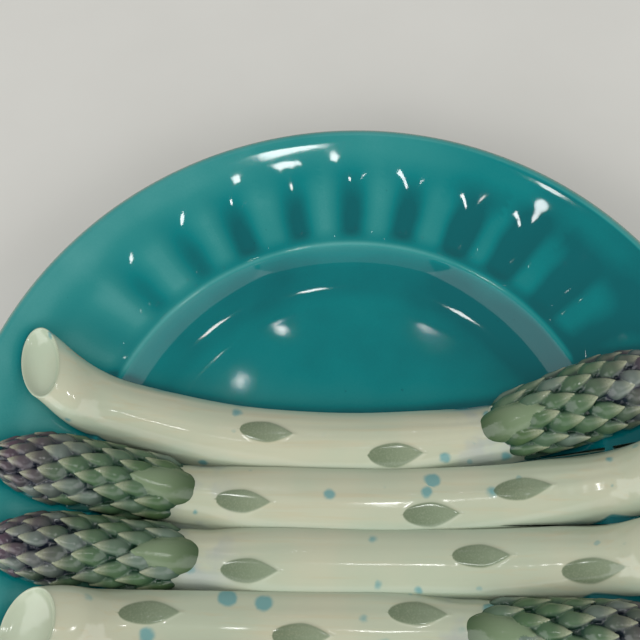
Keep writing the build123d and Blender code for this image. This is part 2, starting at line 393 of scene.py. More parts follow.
def bed_z_at(s, x):
    """Bed height by station, remembered because every ring asks for it many times."""
    key = (s.lane, round(x, 3))
    if key not in bed_cache:
        bed_cache[key] = bed_z(s, x)
    return bed_cache[key]


# Meshes


def get_points(mesh):
    points = np.empty(len(mesh.vertices) * 3)
    mesh.vertices.foreach_get("co", points)
    return points.reshape(-1, 3)


def set_points(mesh, points):
    mesh.vertices.foreach_set("co", np.ascontiguousarray(points).ravel())
    mesh.update()


def set_value(mesh, name, values):
    """Store one number for each vertex, for the glazes to read."""
    layer = mesh.attributes.new(name, "FLOAT", "POINT")
    layer.data.foreach_set("value", np.ascontiguousarray(values, dtype=np.float32))


def mesh_from(bm, name):
    mesh = bpy.data.meshes.new(name)
    bm.to_mesh(mesh)
    bm.free()
    return mesh


def add_piece(mesh, name, glaze, slot, *nodes):
    """Put a mesh made in millimetres into the scene as a finished piece of the plate."""
    set_points(mesh, get_points(mesh) * MM)
    mesh.polygons.foreach_set("use_smooth", [True] * len(mesh.polygons))
    piece = bpy.data.objects.new(name, mesh)
    bpy.context.scene.collection.objects.link(piece)
    mesh.materials.append(glaze)
    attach(piece, BODY)
    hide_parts(*nodes)
    return piece


def turned(profile, steps):
    """Closed shape turned on the wheel from a profile of radius and height."""
    bm = bmesh.new()
    verts = [bm.verts.new((r, 0, z)) for r, z in profile]
    edges = [bm.edges.new(pair) for pair in zip(verts, verts[1:])]
    bmesh.ops.spin(
        bm,
        geom=verts + edges,
        cent=(0, 0, 0),
        axis=(0, 0, 1),
        angle=math.tau,
        steps=steps,
        use_merge=True,
    )
    bmesh.ops.remove_doubles(bm, verts=bm.verts, dist=WELD)
    bmesh.ops.recalc_face_normals(bm, faces=bm.faces)
    return bm


# Dish and foot ring


def dish_profile():
    """Floor, cove, verge, rim, lip and underside, from the axis out and back to it."""
    verge_centre = (VERGE_RADIUS, VERGE_MID)
    points = [(r, FLOOR_TOP) for r in np.linspace(0, FLOOR_RADIUS, FLOOR_POINTS)]
    points += arc(COVE_CENTRE, COVE_RADIUS - HALF_WALL, 0, COVE_TURN, COVE_STEPS)[1:]
    points += arc(verge_centre, HALF_WALL, math.pi + COVE_TURN, math.pi + RIM_START, VERGE_STEPS)[1:]
    points += arc(RIM_CENTRE, RIM_CURVE - HALF_WALL, RIM_START, RIM_END, RIM_STEPS)[1:]
    points += arc((LIP_RADIUS, LIP_MID), HALF_WALL, math.pi + RIM_END, RIM_END, LIP_STEPS)[1:]
    under_rim = arc(RIM_CENTRE, RIM_CURVE + HALF_WALL, RIM_END, RIM_START, UNDER_RIM_STEPS)[1:]
    under_cove = arc(COVE_CENTRE, COVE_RADIUS + HALF_WALL, COVE_TURN, 0, UNDER_COVE_STEPS)
    points += [p for p in under_rim if p[0] > under_cove[0][0] + WALL]
    points += [p for p in under_cove if p[0] < VERGE_RADIUS - UNDER_COVE_END]
    points += [(r, FOOT_HEIGHT) for r in np.linspace(FLOOR_RADIUS, 0, UNDER_FLOOR_POINTS)[1:]]
    return points


def flute_shape(x, y):
    """Depth of each point in its flute, from 0 on a ridge to 1 in a valley, and its cover by the flutes."""
    vary = random.Random(FLUTE_SEED)
    shift = np.array([vary.uniform(-FLUTE_SHIFT, FLUTE_SHIFT) for _ in range(FLUTE_COUNT)])
    depth = np.array([vary.uniform(*FLUTE_DEPTHS) for _ in range(FLUTE_COUNT)])
    outer = FLUTE_OUTER + np.array([vary.uniform(*FLUTE_ENDS) for _ in range(FLUTE_COUNT)])

    # Flutes fade out where the spears lie on the rim
    pitch = 360 / FLUTE_COUNT
    middle = (np.arange(FLUTE_COUNT) * pitch + FIRST_FLUTE) * math.pi / 180
    mid_x = (VERGE_RADIUS + PLATE_RADIUS) / 2 * np.cos(middle)
    mid_y = (VERGE_RADIUS + PLATE_RADIUS) / 2 * np.sin(middle)
    clear = np.maximum(mid_y - middle_y(SPEARS[0], mid_x), middle_y(SPEARS[-1], mid_x) - mid_y)
    depth = depth * smooth(*FLUTE_CLEAR, clear)

    r = np.hypot(x, y)
    turn = (np.degrees(np.arctan2(y, x)) - FIRST_FLUTE) / pitch
    index = np.rint(turn).astype(int) % FLUTE_COUNT
    off = np.clip(turn - np.rint(turn) - shift[index], -0.5, 0.5)
    across = (0.5 + 0.5 * np.cos(np.clip(off * FLUTE_NARROW, -0.5, 0.5) * math.tau)) ** FLUTE_ROUND
    entry = smooth(FLUTE_INNER - FLUTE_BEFORE, FLUTE_INNER + FLUTE_ENTRY, r)
    along = entry * (1 - smooth(outer[index] - FLUTE_RUNOUT, outer[index], r))
    return across * along * depth[index], along


def glaze_pool_and_light(x, r, valley, along, gap):
    """Depth of the turquoise: it gathers in valleys and seams, and thins on ridges, edges and the lip.
    Painted shade darkens it towards the right, and painted light lightens the left rim and the well beside
    the spears.
    """
    in_flutes = 0.34 * valley * (1 - 0.8 * smooth(90, 108, r))
    # painted shade: the glaze is darkened towards the right
    shade_to_the_right = 0.4 * smooth(5, 95, x)
    on_floor = 0.08 * (1 - smooth(72, 78, r))
    in_cove = 0.1 * smooth(61, 67, r) * (1 - smooth(75, 78.5, r))
    in_seams = 0.45 * np.exp(-((gap / 2.4) ** 2))
    on_ridges = 0.27 * np.maximum(along - valley, 0) ** 1.3
    # painted light: the left rim is lightened
    light_on_left_rim = 0.16 * smooth(10, 110, -x) * smooth(78, 84, r)
    on_verge = 0.45 * np.exp(-(((r - VERGE_RADIUS + 0.8) / 0.9) ** 2))
    on_outer_rim = 0.24 * smooth(103, 113, r)
    at_lip = 0.3 * smooth(116.5, 119, r)
    # painted light: the well beside the spears is lightened against their shade
    light_beside_spears = 0.32 * np.exp(-gap / 10.0) * (1 - smooth(72, 79, r))
    deeper_and_shaded = in_flutes + shade_to_the_right + on_floor + in_cove + in_seams
    thinner_and_lit = on_ridges + light_on_left_rim + on_verge + on_outer_rim + at_lip + light_beside_spears
    return POOL_BASE + deeper_and_shaded - thinner_and_lit


def make_dish(glaze, spear_tree):
    """Fluted dish, with the depth of its glaze and its painted light and shade."""
    mesh = mesh_from(turned(dish_profile(), TURN_STEPS), "dish")
    x, y, z = get_points(mesh).T
    r = np.hypot(x, y)
    upper = (np.abs(z - dish_top(r)) < UPPER_FACE) & (r < LIP_RADIUS)
    valley, along = flute_shape(x, y)
    valley = np.where(upper, valley, 0)
    along = np.where(upper, along, 0)
    places = [Vector((px * SWAY_WAVES, py * SWAY_WAVES, SWAY_LAYER)) for px, py in zip(x, y)]
    sway = np.array([noise.noise(place) for place in places])
    z -= FLUTE_DEPTH * valley
    z += np.where(upper & (r < LIP_RADIUS - SWAY_EDGE), SWAY_HEIGHT * sway, 0)
    set_points(mesh, np.column_stack((x, y, z)))

    gap = np.full(len(r), FAR_FROM_SPEARS)
    for k in np.flatnonzero(upper):
        gap[k] = spear_tree.find_nearest(Vector((x[k], y[k], z[k])))[3]
    set_value(mesh, "pool_and_light", np.where(upper, glaze_pool_and_light(x, r, valley, along, gap), UNDERSIDE_POOL))
    set_value(mesh, "lip", np.where(r > LIP_FROM, smooth(*LIP_WORN, r), 0))
    add_piece(mesh, "dish", glaze, "turquoise_glaze", "plate_body")


def make_foot(glaze):
    """Foot ring with softened edges."""
    inner = FOOT_RADIUS - FOOT_WIDTH
    outline = [
        (inner, FOOT_HEIGHT),
        (inner + FOOT_TAPER, 0),
        (FOOT_RADIUS - FOOT_TAPER, 0),
        (FOOT_RADIUS, FOOT_HEIGHT),
    ]
    profile = [outline[0]]
    for k in (1, 2):
        corner = Vector(outline[k])
        before = (Vector(outline[k - 1]) - corner).normalized() * FOOT_SOFT
        after = (Vector(outline[k + 1]) - corner).normalized() * FOOT_SOFT
        profile += [tuple(corner + before * (1 - t) ** 2 + after * t**2) for t in FOOT_ROUNDING]
    profile += [outline[3], outline[0]]
    mesh = mesh_from(turned(profile, FOOT_STEPS), "foot_ring")
    z = get_points(mesh)[:, 2]
    set_value(mesh, "pool_and_light", np.full(len(z), FOOT_POOL))
    set_value(mesh, "lip", 1 - smooth(*FOOT_WORN, z))
    add_piece(mesh, "foot_ring_turned", glaze, "foot_glaze", "foot_ring")


# Stalks


def leaf_mask(s, x, aside):
    """Cover of the low leaves on a stalk: 1 inside, 0 outside, and how far along each leaf."""
    cover = np.zeros_like(x)
    along = np.zeros_like(x)
    for leaf_x, leaf_aside in s.leaves:
        u = (x - leaf_x) / (LEAF_LENGTH / 2)
        w = (aside - leaf_aside) / (LEAF_WIDTH / 2)
        round_end = np.sqrt(np.maximum(1 - u**2, 0))
        pointed_end = np.maximum(1 - np.abs(u) ** LEAF_POINT, 0)
        side = np.where(u < 0, round_end, pointed_end)
        inside = smooth(-LEAF_SOFT, LEAF_SOFT, side - np.abs(w)) * (np.abs(u) < LEAF_END)
        along = np.where(inside > cover, u, along)
        cover = np.maximum(cover, inside)
    return cover, along


def stalk_skin(s, x, from_butt, turn):
    """Point of the half-round skin: over the arch, down its legs and back under as turn goes from 0 to 1."""
    from_shoulder = (x - shoulder_x(s)) * s.tip
    half = SKIN_HALF + (BUTT_HALF - STALK_HALF) * max(0.0, 1 - from_butt / BUTT_SWELL) ** BUTT_CURVE
    tuck = 1 - HEAD_TUCK * float(smooth(HEAD_TUCK_FROM, HEAD_BEDDING, from_shoulder))
    upright = max(float(smooth(*UPRIGHT_OUT, abs(x))), float(smooth(*UPRIGHT_TO_HEAD, from_shoulder)))
    full = FIRST_ARCH if s.lane == 0 else LOW_ARCH
    radius = half * (full + (UPRIGHT_ARCH - full) * upright)
    lean = math.asin(half / radius)
    crest = bed_z_at(s, x) + STALK_RELIEF
    draft = DRAFT * float(smooth(*DRAFT_FROM_BUTT, from_butt))
    if turn < ARCH_SHARE:
        sweep = lean * (1 + LEG_SHARE) * (2 * turn / ARCH_SHARE - 1)
        arch = max(-lean, min(lean, sweep))
        drop = max(0.0, abs(sweep) - lean) / (LEG_SHARE * lean)
        wave = 0.0
        for along, around, layer, height in STALK_WAVES:
            place = Vector((x * along, sweep * around, WAVE_LANE * s.lane + layer))
            wave += noise.noise(place) * height
        aside = -(radius + wave) * math.sin(arch) * tuck * (1 + draft * drop)
        z = crest - radius + (radius + wave) * math.cos(arch) - (1 - tuck) * STALK_HALF
    else:
        share = (turn - ARCH_SHARE) / (1 - ARCH_SHARE)
        drop = 1.0
        aside = half * (2 * share - 1) * tuck * (1 + draft)
        z = crest
    slope = heading_slope(s, x)
    norm = math.hypot(1, slope)
    sag = float(smooth(*CUT_SAG_IN, from_butt) * (1 - smooth(*CUT_SAG_OUT, from_butt)))
    sag *= CUT_SAG * (s.lane == 0)
    skin = Vector((x - slope / norm * aside, middle_y(s, x) + aside / norm - sag, z))
    floor_z = float(ground(skin.x, skin.y)) - SINK
    skin.z = max(skin.z + (floor_z - skin.z) * drop, floor_z)
    return skin


def cut_oval(s, start, from_butt, turn):
    """Point of the slanted oval that the stalk's cut end follows."""
    if turn < ARCH_SHARE:
        angle = math.radians(CUT_ARCH) * (2 * turn / ARCH_SHARE - 1)
    else:
        share = (turn - ARCH_SHARE) / (1 - ARCH_SHARE)
        angle = math.radians(CUT_ARCH + 2 * (180 - CUT_ARCH) * share)
    lean = CUT_LEAN * math.atan(heading_slope(s, start))
    ahead = Vector((math.cos(lean), math.sin(lean))) * s.tip
    centre_x = start + s.tip * (CUT_RUN / 2 + CUT_INSET)
    centre_y = middle_y(s, start) + CUT_ASIDE * (s.lane == 0)
    centre = Vector((centre_x, centre_y))
    foot = centre - ahead * CUT_RUN / 2
    foot_z = float(dish_top(min(foot.length, LIP_RADIUS))) + CUT_LIFT
    middle = centre + ahead * (CUT_RUN / 2 * math.cos(angle) + from_butt)
    z = foot_z + CUT_RISE / 2 * (1 + math.cos(angle)) - CUT_FALL * from_butt
    return Vector((middle.x, middle.y - CUT_HALF * math.sin(angle), z))


def stalk_point(s, start, x, turn):
    """Point of a stalk, eased from the oval of its cut end into its half-round skin."""
    from_butt = abs(x - start)
    skin = stalk_skin(s, x, from_butt, turn)
    blend = float(smooth(0, CUT_BLEND, from_butt))
    if blend == 1:
        return skin
    return cut_oval(s, start, from_butt, turn).lerp(skin, blend)


def dish_cut_end(bm, face):
    """Round the cut end's edge and press a hollow into its face."""
    normal = face.normal.copy()
    for size, sink in CUT_RINGS:
        face = bmesh.ops.extrude_discrete_faces(bm, faces=[face])["faces"][0]
        centre = face.calc_center_median()
        bmesh.ops.scale(bm, vec=(size, size, size), space=Matrix.Translation(-centre), verts=face.verts)
        bmesh.ops.translate(bm, vec=-sink * normal, verts=face.verts)


def mark_stalk(s, mesh, start, skin_count):
    """Raise the low leaves, note where the glaze of a stalk changes, and where shade is painted into the cut
    end's hollow.
    """
    x, y, z = get_points(mesh).T
    aside = (y - middle_y(s, x)) / np.hypot(1, heading_slope(s, x))
    height = z - ground(x, y)
    cover, along = leaf_mask(s, x, aside)
    z = z + LEAF_RISE * cover * (LEAF_RISE_MIDDLE + LEAF_RISE_TIP * along)
    set_points(mesh, np.column_stack((x, y, z)))

    first = s.lane == 0
    last = s.lane == len(SPEARS) - 1
    across = aside / SKIN_HALF
    from_butt = np.abs(x - start)
    cut_face = (np.arange(len(x)) >= skin_count).astype(float)
    outer = (first & (aside > 0)) | (last & (aside < 0))
    edge = smooth(*EDGE_ACROSS, np.abs(across)) * (1 - cut_face) * np.where(outer, 1.0, SEAM_EDGE)
    chip = smooth(*CHIP_INNER, across) * (1 - smooth(*CHIP_OUTER, across))
    chip = chip * smooth(*CHIP_START, from_butt) * (1 - smooth(*CHIP_END, from_butt)) * first
    set_value(mesh, "edge", edge)
    # painted shade in the cut end's hollow, growing towards its far side
    set_value(mesh, "hollow", cut_face * smooth(*HOLLOW_SHADE_ALONG, from_butt / CUT_RUN))
    set_value(mesh, "cut", cut_face)
    set_value(mesh, "low", (1 - smooth(*STALK_LOW, height)) * (1 - cut_face))
    set_value(mesh, "leaf", cover)
    set_value(mesh, "leaf_along", along)
    set_value(mesh, "shoulder", 1 - smooth(0, SHOULDER_REACH, np.abs(x - shoulder_x(s))))
    set_value(mesh, "chip", chip)


def make_stalk(s, glaze):
    """Half-round stalk from its slanted, dished cut end to inside the head."""
    start = butt_x(s)
    end = shoulder_x(s) + s.tip * HEAD_BEDDING
    bm = bmesh.new()
    bmesh.ops.create_grid(bm, x_segments=STALK_POINTS, y_segments=SKIN_POINTS, size=0.5)
    for v in bm.verts:
        v.co = stalk_point(s, start, start + (end - start) * (v.co.x + 0.5), v.co.y + 0.5)
    bmesh.ops.remove_doubles(bm, verts=bm.verts, dist=SKIN_WELD)
    caps = bmesh.ops.holes_fill(bm, edges=[e for e in bm.edges if e.is_boundary], sides=0)["faces"]
    bmesh.ops.recalc_face_normals(bm, faces=bm.faces)
    cut = min(caps, key=lambda f: abs(f.calc_center_median().x - start))
    skin_count = len(bm.verts)
    dish_cut_end(bm, cut)
    mesh = mesh_from(bm, s.name + "_stalk")
    mark_stalk(s, mesh, start, skin_count)
    nodes = (s.name + "_stalk", s.name + "_leaves")
    return add_piece(mesh, s.name + "_stalk_glazed", glaze, "ivory_glaze", *nodes)


# Heads


def bud_radius(width, along):
    """Radius of the bud core along its length."""
    share = np.asarray(along, float) / HEAD_LENGTH
    full = width / 2 - SCALE_LIFT
    opening = np.sin(math.pi / 2 * np.clip(share, 0, HEAD_FULL_AT) / HEAD_FULL_AT)
    swell = STALK_HALF + (full - STALK_HALF) * opening
    closing = np.clip((share - HEAD_FULL_AT) / (1 - HEAD_FULL_AT), 0, 1)
    return np.where(share <= HEAD_FULL_AT, swell, full * (1 - closing**2) ** BUD_ROUND)


def core_profile(width):
    """Radius and height of the bud core, from its root inside the stalk to its point."""
    body = np.linspace(-HEAD_ROOT, HEAD_LENGTH * (1 - POINT_SHARE), CORE_POINTS)
    point = HEAD_LENGTH * (1 - np.linspace(POINT_SHARE, 0, POINT_POINTS) ** POINT_CURVE)
    stations = np.concatenate((body, point))[:-1]
    profile = [(0.0, -HEAD_ROOT)]
    profile += [(float(bud_radius(width, along)) - CORE_TUCK, float(along)) for along in stations]
    profile.append((0.0, HEAD_LENGTH - CORE_TUCK))
    return profile


def head_scales(width):
    """Lay out the scales of one head: where each begins, how long and wide it is, and its own tone."""
    steps = [SCALE_SHRINK**k for k in range(SCALE_ROWS + 1)]
    unit = (HEAD_LENGTH - SCALE_FIRST - SCALE_LAST) / sum(steps)
    ends = [SCALE_FIRST]
    for step in steps:
        ends.append(ends[-1] + step * unit)
    turn = math.tau / SCALES_AROUND
    scales = []
    for row in range(1, SCALE_ROWS + 1):
        low, middle, high = ends[row - 1 : row + 2]
        around = float(bud_radius(width, middle)) * turn
        offset = 0 if row % 2 else turn / 2
        for k in range(-SCALES_ASIDE, SCALES_ASIDE + 1):
            place = offset + turn * k
            if abs(place) > SCALE_REACH:
                continue
            lead = row == 1 and k == 0
            scales.append(SimpleNamespace(
                start=LEAD_START if lead else low - SCALE_BACK + RNG.uniform(-SCALE_STRAY, SCALE_STRAY),
                length=LEAD_LENGTH if lead else (high - low) * SCALE_SPAN + SCALE_EXTRA,
                half=LEAD_HALF if lead else around / 2 * RNG.uniform(*SCALE_WIDTHS),
                place=place + RNG.uniform(-SCALE_SHIFT, SCALE_SHIFT),
                lift=RNG.uniform(*SCALE_LIFTS),
                skew=RNG.uniform(-SCALE_SKEW, SCALE_SKEW),
                tone=RNG.random(),
                lead=float(lead),
            ))
    return scales


def scale_half(scale, t):
    """Half width of a scale along it: round at its base, pointed at its free end."""
    t = np.clip(t, 0, 1)
    base = np.sqrt(np.maximum(1 - ((SCALE_WIDEST - t) / SCALE_BASE) ** 2, SCALE_BASE_LEAST))
    point = 1 - (np.maximum(t - SCALE_WIDEST, 0) / (1 - SCALE_WIDEST)) ** SCALE_POINT
    return scale.half * np.where(t < SCALE_WIDEST, base, point)


def scale_height(scale, t, u):
    """Height of a scale over the bud core: tucked in at its base, pillowed, lifted at its point."""
    t = np.clip(t, 0, 1)
    u = np.minimum(np.abs(u), 1)
    rise = -SCALE_DEEP + (scale.lift + SCALE_DEEP) * smooth(*SCALE_EMERGE, t)
    rise = rise + SCALE_KICK * smooth(*SCALE_KICK_FROM, t)
    pillow = (SCALE_PILLOW * (1 - u**2) - SCALE_BRIM * u**4) * smooth(*SCALE_FILL, t)
    return rise + pillow * (1 - SCALE_FLATTEN * smooth(*SCALE_FLATTEN_FROM, t))


def add_scale(bm, scale, width):
    """Bend a thin sheet over the bud core as one scale."""
    columns, rows = SCALE_GRID
    grid = bmesh.ops.create_grid(bm, x_segments=columns, y_segments=rows, size=0.5)["verts"]
    faces = list({f for v in grid for f in v.link_faces})
    for v in grid:
        u = v.co.x * 2
        t = v.co.y + 0.5
        along = scale.start + t * scale.length
        radius = float(bud_radius(width, min(along, HEAD_LENGTH - 0.5)))
        lateral = u * float(scale_half(scale, t)) + scale.skew * scale.half * t
        angle = scale.place + lateral / max(radius, LEAST_RADIUS)
        out = radius + float(scale_height(scale, t, u))
        v.co = (out * math.cos(angle), out * math.sin(angle), along)
    bmesh.ops.recalc_face_normals(bm, faces=faces)
    middle = faces[len(faces) // 2]
    if middle.normal.xy.dot(middle.calc_center_median().xy) < 0:
        bmesh.ops.reverse_faces(bm, faces=faces)
    bmesh.ops.solidify(bm, geom=faces, thickness=SCALE_THICK)


def fused(mesh, voxel):
    """One closed skin over overlapping shells, with its steps smoothed."""
    blank = bpy.data.objects.new(mesh.name, mesh)
    bpy.context.scene.collection.objects.link(blank)
    skin = blank.modifiers.new("skin", "REMESH")
    skin.mode = "VOXEL"
    skin.voxel_size = voxel
    soften = blank.modifiers.new("soften", "SMOOTH")
    soften.factor = SOFTEN_SHARE
    soften.iterations = SOFTEN_ROUNDS
    result = bpy.data.meshes.new_from_object(blank.evaluated_get(bpy.context.evaluated_depsgraph_get()))
    bpy.data.objects.remove(blank)
    return result


def cavity(mesh, points):
    """How hollow the surface is at each vertex: positive in grooves, negative on ridges, in millimetres."""
    pairs = np.empty(len(mesh.edges) * 2, dtype=np.int64)
    mesh.edges.foreach_get("vertices", pairs)
    a, b = pairs.reshape(-1, 2).T
    count = np.bincount(a, minlength=len(points)) + np.bincount(b, minlength=len(points))
    count = np.maximum(count, 1)[:, None]
    even = points.copy()
    for _ in range(CAVITY_ROUNDS):
        total = np.zeros_like(even)
        np.add.at(total, a, even[b])
        np.add.at(total, b, even[a])
        even = CAVITY_KEEP * even + (1 - CAVITY_KEEP) * total / count
    normals = np.empty(len(points) * 3)
    mesh.vertices.foreach_get("normal", normals)
    return np.sum((even - points) * normals.reshape(-1, 3), axis=1)


def mark_head(mesh, scales, width):
    """Note for each point of a head which scale it lies on, where the glaze changes, and where shade is
    painted into the pits between the scales.
    """
    points = get_points(mesh)
    along = points[:, 2]
    angle = np.arctan2(points[:, 1], points[:, 0])
    core_radius = bud_radius(width, np.clip(along, -HEAD_ROOT, HEAD_LENGTH))
    height = np.hypot(points[:, 0], points[:, 1]) - core_radius
    best = np.full(len(along), SCALE_NEAR)
    tone = np.full(len(along), 0.5)
    bare = np.ones(len(along))
    rise = np.zeros(len(along))
    brim = np.zeros(len(along))
    lead = np.zeros(len(along))
    for scale in scales:
        t = (along - scale.start) / scale.length
        off = (angle - scale.place + math.pi) % math.tau - math.pi
        lateral = off * np.maximum(core_radius, LEAST_RADIUS) - scale.skew * scale.half * np.clip(t, 0, 1)
        u = np.abs(lateral) / np.maximum(scale_half(scale, t), 0.05)
        near = (t > 0) & (t < SCALE_PAST_POINT) & (u < SCALE_PAST_BRIM)
        near = near & (height > SCALE_LEAST_HEIGHT - CORE_TUCK)
        miss = np.where(near, np.abs(height - scale_height(scale, t, u)), NOT_NEAR)
        mine = miss < best
        best = np.where(mine, miss, best)
        bare = np.where(mine, 0.0, bare)
        tone = np.where(mine, scale.tone, tone)
        rise = np.where(mine, np.clip(t, 0, 1), rise)
        brim = np.where(mine, np.clip(u, 0, 1), brim)
        lead = np.where(mine, scale.lead, lead)
    set_value(mesh, "tone", tone)
    set_value(mesh, "rise", rise)
    set_value(mesh, "brim", brim)
    # pooled glaze with painted shade in the pits between the scales
    set_value(mesh, "pit_pool_and_shade", 1 - smooth(*PIT_SHADE_HEIGHT, height - PIT_SHADE_CAVITY * cavity(mesh, points)))
    set_value(mesh, "along", along / HEAD_LENGTH)
    set_value(mesh, "lead", lead)
    set_value(mesh, "bare", bare * (1 - smooth(*BARE_ALONG, along)))


def head_matrix(s):
    """Place of a head: local Z along it to its point, local X upwards."""
    x = shoulder_x(s)
    end = tip_x(s)
    start = Vector((x, middle_y(s, x), bed_z(s, x) + STALK_RELIEF - STALK_HALF))
    point = Vector((end, middle_y(s, end), float(dish_top(PLATE_RADIUS - TIP_MARGIN)) + TIP_LIFT))
    along = (point - start).normalized()
    side = Vector((0, 0, 1)).cross(along).normalized()
    up = along.cross(side)
    return Matrix.Translation(start) @ Matrix((up, side, along)).transposed().to_4x4()


def make_head(s, glaze):
    """Bud core and overlapping scales, fused as the glaze fuses them and bedded on the dish."""
    bm = turned(core_profile(s.head_width), CORE_STEPS)
    scales = head_scales(s.head_width)
    for scale in scales:
        add_scale(bm, scale, s.head_width)
    mesh = fused(mesh_from(bm, s.name + "_head"), HEAD_VOXEL)
    mark_head(mesh, scales, s.head_width)

    place = head_matrix(s)
    world = (np.array(place.to_3x3()) @ get_points(mesh).T).T + np.array(place.translation)
    bed = ground(world[:, 0], world[:, 1])
    set_value(mesh, "low", 1 - smooth(*HEAD_LOW, world[:, 2] - bed))
    world[:, 2] = np.maximum(world[:, 2], bed - SINK)
    set_points(mesh, world)
    nodes = (s.name + "_head", s.name + "_scales")
    return add_piece(mesh, s.name + "_head_glazed", glaze, "bud_glaze", *nodes)


# Colours of the glazes


def colour(r, g, b):
    return (r, g, b, 1.0)


# Turquoise by glaze depth, a value that also carries painted light and shade on the dish
TURQUOISE_BY_DEPTH_AND_LIGHT = (
    (0.0, colour(0.2, 0.38, 0.34)),
    (0.22, colour(0.07, 0.285, 0.275)),
    (0.48, colour(0.02, 0.21, 0.205)),
    (0.75, colour(0.0, 0.165, 0.17)),
    (1.0, colour(0.0, 0.095, 0.105)),
)
PINHOLE_TEAL = colour(0.001, 0.06, 0.07)
WORN_LIP = colour(0.3, 0.33, 0.25)

IVORY_WARM = colour(0.435, 0.445, 0.325)
IVORY_COOL = colour(0.39, 0.435, 0.32)
FIBRE_BUFF = colour(0.44, 0.38, 0.24)
EDGE_GREEN = colour(0.22, 0.4, 0.33)
CUT_PALE = colour(0.42, 0.51, 0.385)
# painted shade over the far side of the cut end's hollow
HOLLOW_PAINTED_SHADE = colour(0.25, 0.27, 0.18)
SEAM_TURQUOISE = colour(0.01, 0.17, 0.18)
SHOULDER_GREY = colour(0.29, 0.33, 0.33)
SPECK_BLUE = colour(0.04, 0.24, 0.27)
CHIP_CLAY = colour(0.5, 0.27, 0.12)
LEAF_DARK = colour(0.085, 0.125, 0.065)
LEAF_LIGHT = colour(0.16, 0.21, 0.13)

BUD_BY_REACH = (
    (0.0, colour(0.057, 0.1, 0.035)),
    (0.3, colour(0.062, 0.12, 0.057)),
    (0.55, colour(0.07, 0.12, 0.066)),
    (0.78, colour(0.066, 0.055, 0.062)),
    (1.0, colour(0.07, 0.028, 0.055)),
)
SCALE_PALE = colour(0.13, 0.175, 0.145)
POINT_WORN = colour(0.34, 0.36, 0.24)
LEAD_DARK = colour(0.035, 0.07, 0.022)
LEAD_LIGHT = colour(0.15, 0.21, 0.12)
# Pooled glaze with painted shade in the grooves between the scales
GROOVE_POOL_AND_SHADE_GREEN = colour(0.016, 0.05, 0.028)
GROOVE_POOL_AND_SHADE_VIOLET = colour(0.014, 0.018, 0.03)
BARE_IVORY = colour(0.45, 0.46, 0.35)
BARE_GREY = colour(0.27, 0.3, 0.31)
BUD_SEAM = colour(0.0, 0.12, 0.125)

TABLE_LIGHT = colour(0.6, 0.6, 0.565)
TABLE_DARK = colour(0.55, 0.55, 0.515)
ROOM_WHITE = colour(1.0, 0.98, 0.97)

# Specks of each kind
PINHOLES = {"Spacing": 0.22, "Rarity": 0.86, "Size": 0.07}
BLUE_SPECKS = {"Spacing": 0.08, "Rarity": 0.12, "Size": 0.17}
FINE_SPECKS = {"Spacing": 0.15, "Rarity": 0.76, "Size": 0.13}

# How far each glaze bends light, its roughness from smooth to dull, and its relief's strength and depth
TURQUOISE_IOR = 1.3
TURQUOISE_GLOSS = (0.04, 0.07)
TURQUOISE_RELIEF = (0.03, 0.5)
IVORY_IOR = 1.45
IVORY_GLOSS = (0.09, 0.17)
IVORY_RELIEF = (0.15, 0.5)
BUD_IOR = 1.42
BUD_GLOSS = (0.06, 0.14)
BUD_RELIEF = (0.2, 0.25)
GLOSS_GRAIN = (0.3, 0.8)

# Stretch of patterns along the stalks
FIBRE_STRETCH = (0.05, 1, 1)
RUN_STRETCH = (0.12, 0.5, 0.5)

# Sockets of a colour Mix node
MIX_SHARE = 0
MIX_A = 6
MIX_B = 7
MIX_RESULT = 2


# Glazes


def link(tree, source, target):
    tree.links.new(source, target)


def put(tree, socket, value):
    """Set a socket to a value, or feed it from another socket."""
    if isinstance(value, bpy.types.NodeSocket):
        link(tree, value, socket)
    else:
        socket.default_value = value


def attribute(tree, name):
    node = tree.nodes.new("ShaderNodeAttribute")
    node.attribute_name = name
    return node.outputs["Fac"]


def maths(tree, kind, a, b):
    node = tree.nodes.new("ShaderNodeMath")
    node.operation = kind
    put(tree, node.inputs[0], a)
    put(tree, node.inputs[1], b)
    return node.outputs[0]


def times(tree, a, b):
    return maths(tree, "MULTIPLY", a, b)


def most(tree, a, b):
    return maths(tree, "MAXIMUM", a, b)


def stray(tree, base, value, amount):
    """A base that strays up and down with a value about its middle."""
    return maths(tree, "ADD", base, times(tree, maths(tree, "SUBTRACT", value, 0.5), amount))


def mix(tree, share, a, b):
    node = tree.nodes.new("ShaderNodeMix")
    node.data_type = "RGBA"
    put(tree, node.inputs[MIX_SHARE], share)
    put(tree, node.inputs[MIX_A], a)
    put(tree, node.inputs[MIX_B], b)
    return node.outputs[MIX_RESULT]


def span(tree, value, low, high, to_low=0.0, to_high=1.0):
    """Smooth step of a value from one range to another."""
    node = tree.nodes.new("ShaderNodeMapRange")
    node.interpolation_type = "SMOOTHSTEP"
    for socket, number in zip(node.inputs, (value, low, high, to_low, to_high)):
        put(tree, socket, number)
    return node.outputs[0]


def ramp(tree, share, stops):
    node = tree.nodes.new("ShaderNodeValToRGB")
    bar = node.color_ramp
    while len(bar.elements) < len(stops):
        bar.elements.new(1.0)
    for element, (place, tint) in zip(bar.elements, stops):
        element.position = place
        element.color = tint
    put(tree, node.inputs[0], share)
    return node.outputs[0]


def object_place(tree, stretch=(1, 1, 1)):
    """Object coordinates in millimetres, stretched along the axes."""
    coords = tree.nodes.new("ShaderNodeTexCoord")
    mapping = tree.nodes.new("ShaderNodeMapping")
    mapping.inputs["Scale"].default_value = [k / MM for k in stretch]
    link(tree, coords.outputs["Object"], mapping.inputs["Vector"])
    return mapping.outputs["Vector"]


